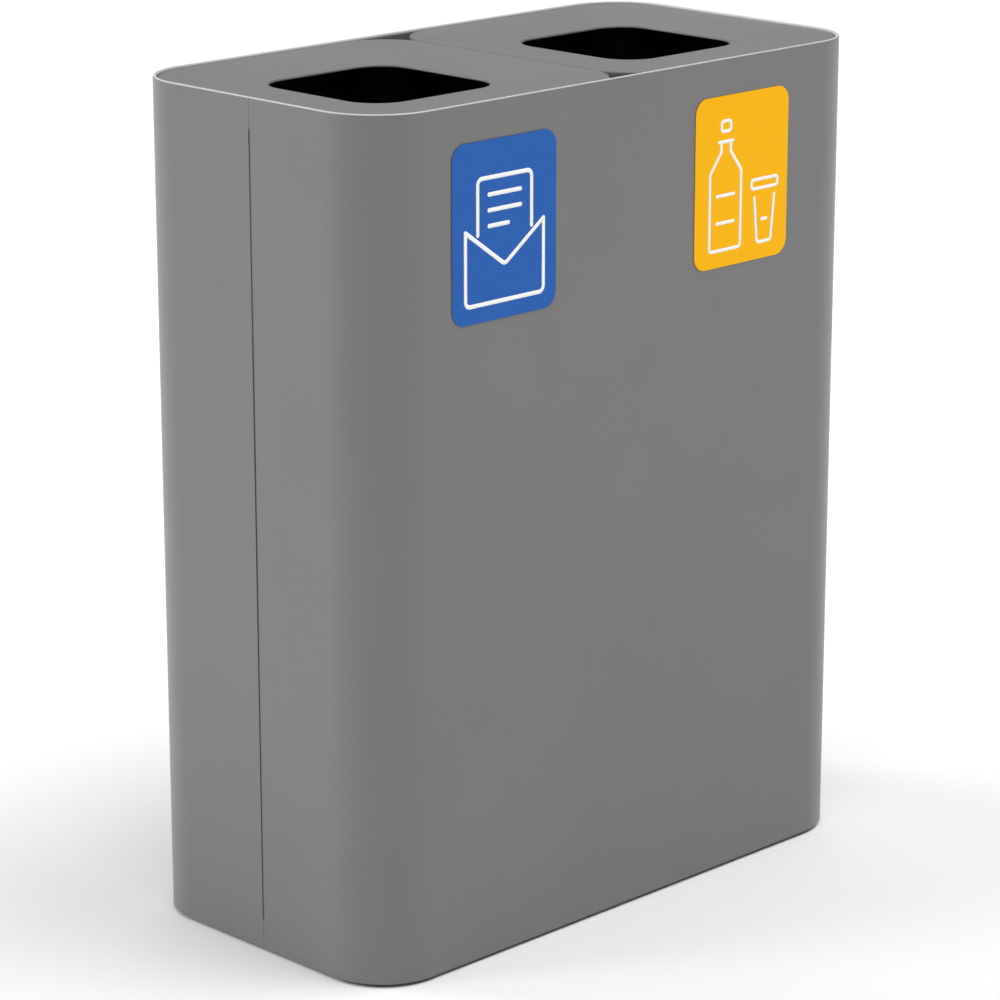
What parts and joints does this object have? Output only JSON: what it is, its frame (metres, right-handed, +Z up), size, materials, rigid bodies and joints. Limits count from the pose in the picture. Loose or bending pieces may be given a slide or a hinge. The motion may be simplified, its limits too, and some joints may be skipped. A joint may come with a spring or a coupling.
{
  "type": "double recycling bin",
  "caption": "Free-standing sheet-steel recycling bin with rounded corners, side-by-side dished lift-off lids with square openings, lift-out liners and plain sorting labels.",
  "frame": {"origin": "on the floor, at the middle of the footprint", "axes": "+Z up, +X to the right along the long side as the labels are faced, -Y towards the front face that carries the labels"},
  "size_m": [0.6, 0.3058, 0.743],
  "materials": {
    "powder_coat": "satin grey powder coat",
    "inner_coat": "satin dark grey powder coat",
    "zinc_sheet": "galvanised sheet",
    "screw_steel": "zinc plated",
    "liner_plastic": "fine moulded texture",
    "foot_rubber": "matte",
    "pad_rubber": "matte",
    "label_blue": "satin printed film",
    "label_yellow": "satin printed film"
  },
  "bodies": {
    "body": {"front_shell": "powder_coat", "rear_shell": "powder_coat", "seam_strap_left": "powder_coat", "seam_strap_right": "powder_coat", "floor_tray": "zinc_sheet", "divider_panel": "inner_coat", "foot_front_left": "foot_rubber", "foot_front_right": "foot_rubber", "foot_rear_left": "foot_rubber", "foot_rear_right": "foot_rubber", "foot_screw_front_left": "screw_steel", "foot_screw_front_right": "screw_steel", "foot_screw_rear_left": "screw_steel", "foot_screw_rear_right": "screw_steel", "label_paper": "label_blue", "label_plastic": "label_yellow"},
    "liner_left": {"liner_left": "liner_plastic"},
    "liner_right": {"liner_right": "liner_plastic"},
    "lid_left": {"lid_left": "powder_coat", "lid_pad_left_front": "pad_rubber", "lid_pad_left_rear": "pad_rubber", "lid_pad_left_outer": "pad_rubber", "lid_pad_left_inner": "pad_rubber"},
    "lid_right": {"lid_right": "powder_coat", "lid_pad_right_front": "pad_rubber", "lid_pad_right_rear": "pad_rubber", "lid_pad_right_outer": "pad_rubber", "lid_pad_right_inner": "pad_rubber"}
  },
  "joints": [
    {"name": "liner_left_lift", "type": "slide", "parent": "body", "child": "liner_left", "axis": [0, 0, 1], "range_m": [0, 0.745]},
    {"name": "liner_right_lift", "type": "slide", "parent": "body", "child": "liner_right", "axis": [0, 0, 1], "range_m": [0, 0.745]},
    {"name": "lid_left_lift", "type": "slide", "parent": "liner_left", "child": "lid_left", "axis": [0, 0, 1], "range_m": [0, 0.15]},
    {"name": "lid_right_lift", "type": "slide", "parent": "liner_right", "child": "lid_right", "axis": [0, 0, 1], "range_m": [0, 0.15]}
  ]
}
